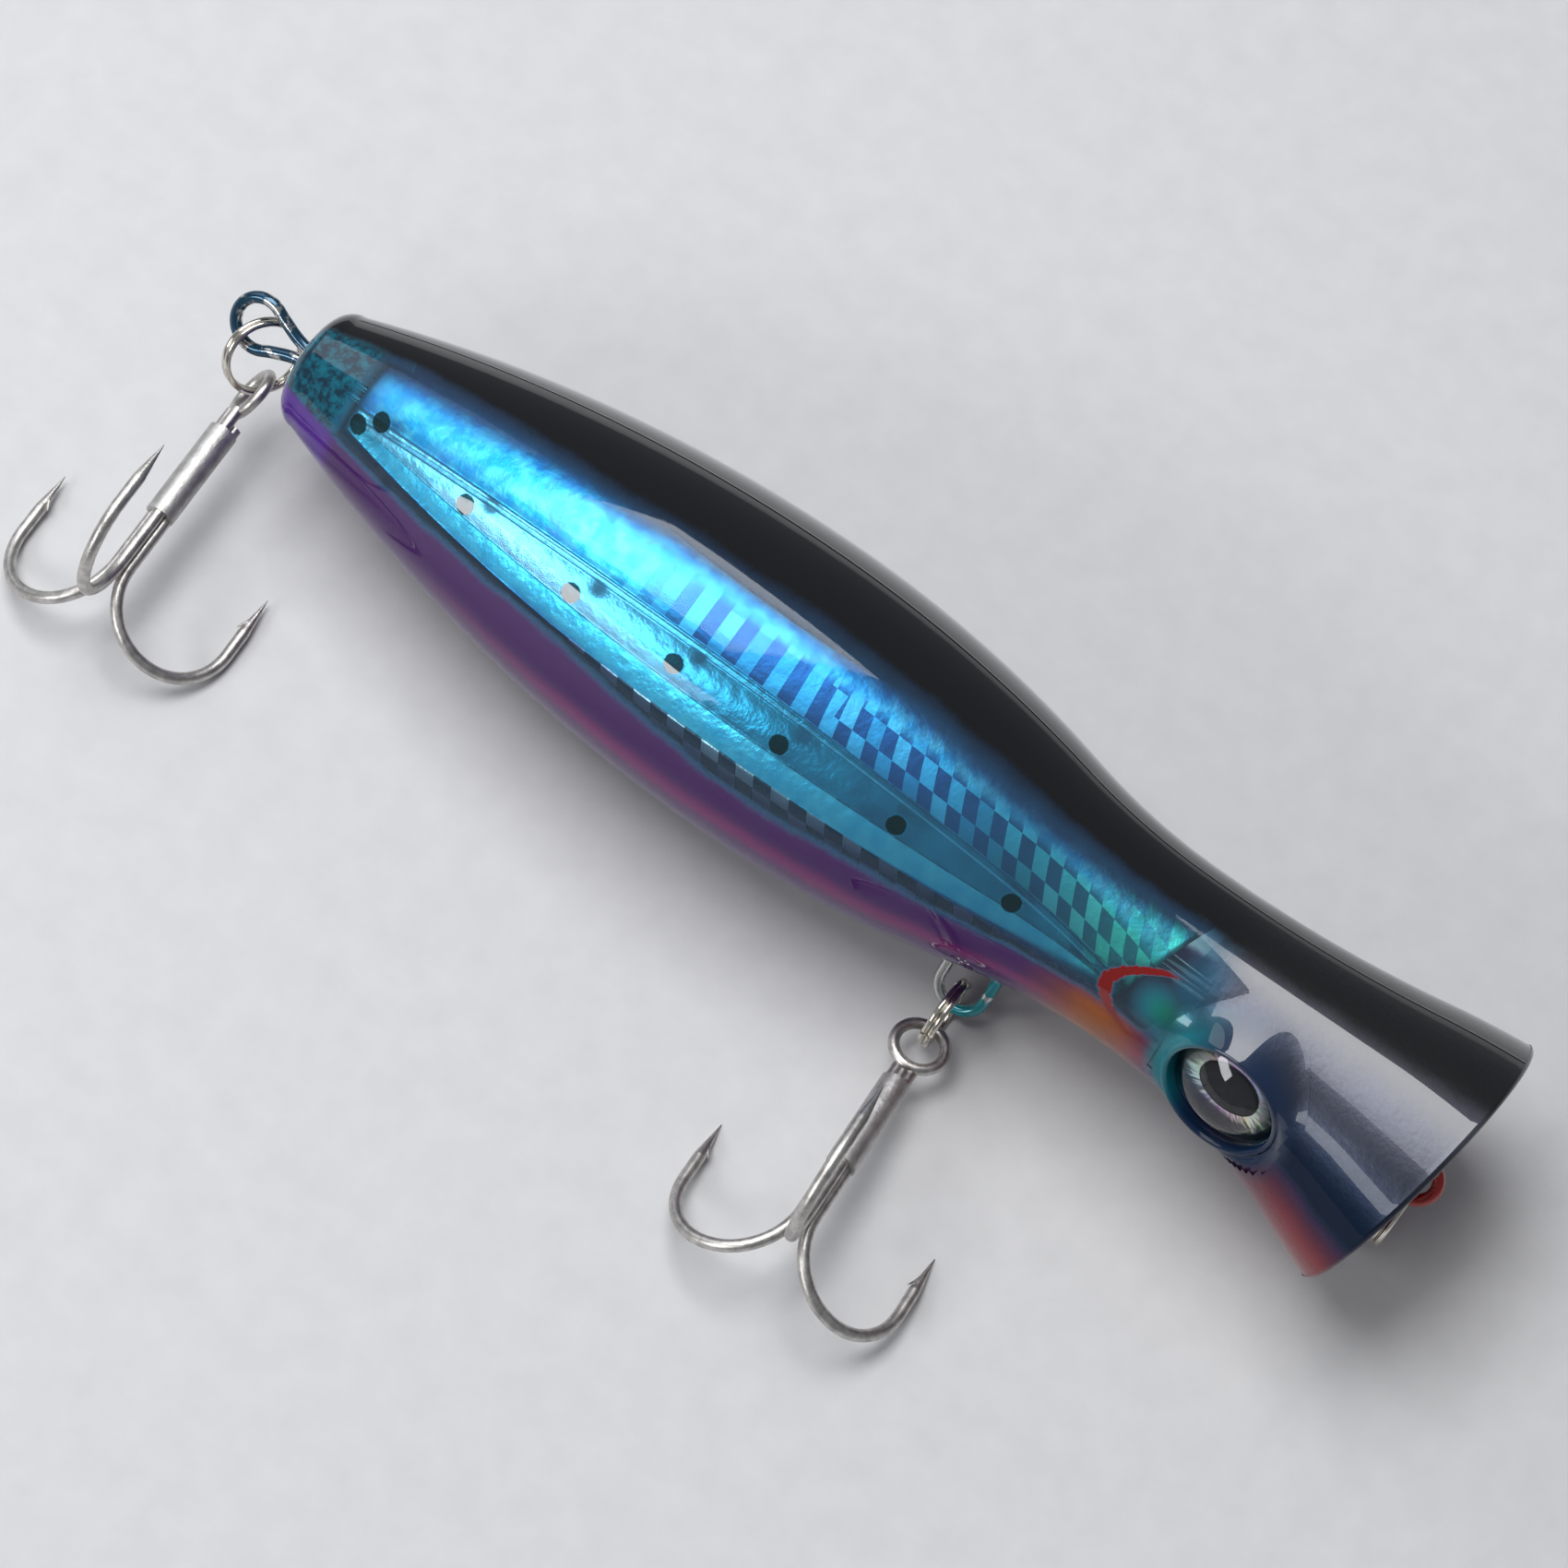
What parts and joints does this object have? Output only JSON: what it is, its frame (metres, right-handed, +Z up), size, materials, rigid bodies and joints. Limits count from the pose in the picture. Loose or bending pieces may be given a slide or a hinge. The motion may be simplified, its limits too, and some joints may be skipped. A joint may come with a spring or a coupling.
{
  "type": "topwater popper",
  "caption": "Topwater fishing popper with a clear painted body, holographic inner foil, domed eyes, cupped mouth, through-wire, split rings and treble hooks.",
  "frame": {"origin": "bottom centre of the bounding box, on the surface that the lure lies on", "axes": "+X from tail to nose, +Z up from that surface, +Y to the side of the back"},
  "size_m": [0.1428, 0.059, 0.0295],
  "materials": {
    "body_shell": "clear moulded plastic, blue, with a painted black back and violet belly",
    "holographic_foil": "holographic checkered foil",
    "eye_foil": "silver holographic foil",
    "eye_pupil": "gloss black",
    "eye_resin": "clear domed resin",
    "painted_wire": "stainless wire, overspray at the ends",
    "ballast": "dull grey weight",
    "nickel_ring": "bright nickel",
    "tinned_hook": "matte tinned",
    "solder": "dull solder"
  },
  "bodies": {
    "lure": {"body_shell_left": "body_shell", "foil_insert_left": "holographic_foil", "eye_iris_left": "eye_foil", "eye_pupil_left": "eye_pupil", "eye_dome_left": "eye_resin", "body_shell_right": "body_shell", "foil_insert_right": "holographic_foil", "eye_iris_right": "eye_foil", "eye_pupil_right": "eye_pupil", "eye_dome_right": "eye_resin", "through_wire": "painted_wire", "belly_hanger": "painted_wire", "tail_ballast": "ballast", "belly_ballast": "ballast"},
    "nose_ring": {"nose_split_ring": "nickel_ring"},
    "belly_ring": {"belly_split_ring": "nickel_ring"},
    "tail_ring": {"tail_split_ring": "nickel_ring"},
    "belly_treble": {"belly_treble_double_hook": "tinned_hook", "belly_treble_single_hook": "tinned_hook", "belly_treble_braze": "solder"},
    "tail_treble": {"tail_treble_double_hook": "tinned_hook", "tail_treble_single_hook": "tinned_hook", "tail_treble_braze": "solder"}
  },
  "joints": [
    {"name": "nose_ring_swing", "type": "hinge", "parent": "lure", "child": "nose_ring", "pos_m": [0.06875, 0.01127, 0.01152], "axis": [0.9998, 0, 0.0175], "range_deg": [-60, 60]},
    {"name": "belly_ring_swing", "type": "hinge", "parent": "lure", "child": "belly_ring", "pos_m": [0.02571, 0.00444, 0.00202], "axis": [0.9998, 0, 0.0175], "range_deg": [-4, 110]},
    {"name": "belly_treble_swing", "type": "hinge", "parent": "belly_ring", "child": "belly_treble", "pos_m": [0.02571, -0.00038, 0.00314], "axis": [0, -0.1736, 0.9848], "range_deg": [-60, 60]},
    {"name": "tail_ring_swing", "type": "hinge", "parent": "lure", "child": "tail_ring", "pos_m": [-0.06298, 0.01324, 0.01175], "axis": [0.9998, 0, 0.0175], "range_deg": [-35, 35]},
    {"name": "tail_treble_swing", "type": "hinge", "parent": "tail_ring", "child": "tail_treble", "pos_m": [-0.06096, 0.01157, 0.00757], "axis": [0.5997, 0.7173, -0.3548], "range_deg": [-35, 35]}
  ]
}
